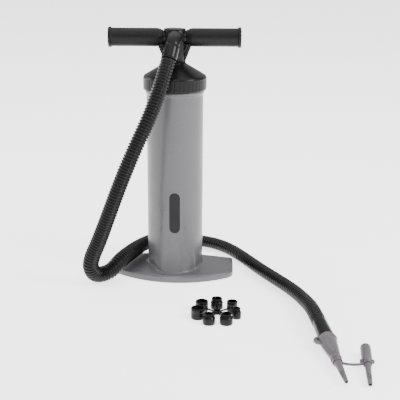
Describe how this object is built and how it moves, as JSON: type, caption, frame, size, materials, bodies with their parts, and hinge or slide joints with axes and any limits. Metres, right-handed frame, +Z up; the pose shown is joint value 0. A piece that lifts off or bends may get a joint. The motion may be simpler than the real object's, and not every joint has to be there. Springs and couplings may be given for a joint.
{
  "type": "double-action hand pump",
  "caption": "Upright double-action hand air pump for inflatable boats: grey barrel with foot wings, black screw cap, T-handle, corrugated hose, nozzles and valve adapters",
  "frame": {"origin": "centre of the barrel's axis on the floor plane under the foot", "axes": "+Z up along the barrel, X along the handle and the foot's wings, -Y to the front where the hose leaves the handle"},
  "size_m": [0.4916, 0.6178, 0.4795],
  "materials": {
    "barrel_plastic": "moulded polypropylene, light grey, satin gloss",
    "cap_plastic": "moulded ABS, black, satin",
    "handle_plastic": "moulded ABS, black, glossy",
    "grip_plastic": "moulded polypropylene, black, satin",
    "black_plastic": "moulded polypropylene, black",
    "rod_plastic": "extruded rigid plastic tube, black, smooth",
    "bush_plastic": "acetal, natural",
    "seal_rubber": "nitrile rubber, black",
    "valve_rubber": "soft rubber sheet, black",
    "spring_steel": "zinc-plated steel",
    "badge_film": "printed film, black",
    "hose_plastic": "corrugated polyethylene, black",
    "nozzle_plastic": "moulded polyethylene, grey",
    "adapter_plastic": "moulded polyethylene, black"
  },
  "bodies": {
    "pump_body": {"barrel": "barrel_plastic", "label": "badge_film", "base_plate": "black_plastic", "base_seal": "seal_rubber", "base_lock_ring": "spring_steel", "base_valve_stud": "black_plastic", "top_plate": "black_plastic", "cap_seal": "seal_rubber", "rod_bush": "bush_plastic", "rod_wiper": "seal_rubber", "cap_flap_ring": "black_plastic", "cap": "cap_plastic", "hose": "hose_plastic", "nozzle_cuff": "hose_plastic", "nozzle": "nozzle_plastic"},
    "handle_and_piston": {"piston_base": "black_plastic", "piston_cover": "black_plastic", "piston_seal_lower": "seal_rubber", "piston_seal_upper": "seal_rubber", "piston_screws": "spring_steel", "piston_bolt": "spring_steel", "valve_spacer": "bush_plastic", "rod_plug": "black_plastic", "piston_rod": "rod_plastic", "rod_pin": "spring_steel", "rod_top_seal": "seal_rubber", "handle_tee": "handle_plastic", "hub_lid": "handle_plastic", "grip_left": "grip_plastic", "grip_right": "grip_plastic", "end_cap_left": "grip_plastic", "end_cap_right": "grip_plastic", "hose_elbow": "handle_plastic", "elbow_seal": "seal_rubber", "hose_cuff": "hose_plastic"},
    "base_flap": {"base_flap": "valve_rubber"},
    "cap_flap": {"cap_flap": "valve_rubber"},
    "piston_flap_lower": {"piston_flap_lower": "valve_rubber"},
    "piston_flap_upper": {"piston_flap_upper": "valve_rubber"},
    "spare_nozzle": {"nozzle_strap": "nozzle_plastic", "spare_nozzle": "nozzle_plastic"},
    "adapter_set": {"adapter_runner": "adapter_plastic", "adapter_cup_1": "adapter_plastic", "adapter_cup_2": "adapter_plastic", "adapter_cup_3": "adapter_plastic", "adapter_cup_4": "adapter_plastic", "adapter_cup_5": "adapter_plastic", "adapter_cup_6": "adapter_plastic", "adapter_cup_7": "adapter_plastic"}
  },
  "joints": [
    {"name": "piston_stroke", "type": "slide", "parent": "pump_body", "child": "handle_and_piston", "axis": [0, 0, 1], "range_m": [0, 0.278]},
    {"name": "base_flap_lift", "type": "slide", "parent": "pump_body", "child": "base_flap", "axis": [0, 0, 1], "range_m": [0, 0.002], "stiffness_N_per_m": 60, "springref_m": -0.003},
    {"name": "cap_flap_drop", "type": "slide", "parent": "pump_body", "child": "cap_flap", "axis": [0, 0, -1], "range_m": [0, 0.002], "stiffness_N_per_m": 60, "springref_m": -0.003},
    {"name": "lower_flap_lift", "type": "slide", "parent": "handle_and_piston", "child": "piston_flap_lower", "axis": [0, 0, 1], "range_m": [0, 0.002], "stiffness_N_per_m": 60, "springref_m": -0.003},
    {"name": "upper_flap_drop", "type": "slide", "parent": "handle_and_piston", "child": "piston_flap_upper", "axis": [0, 0, -1], "range_m": [0, 0.002], "stiffness_N_per_m": 60, "springref_m": -0.003},
    {"name": "spare_nozzle_swing", "type": "hinge", "parent": "pump_body", "child": "spare_nozzle", "pos_m": [0.26033, -0.41638, 0.01214], "axis": [0.0835, -0.9946, -0.061], "range_deg": [0, 150]},
    {"name": "adapter_set_lift", "type": "slide", "parent": "pump_body", "child": "adapter_set", "axis": [0, 0, 1], "range_m": [0, 0.06]}
  ]
}
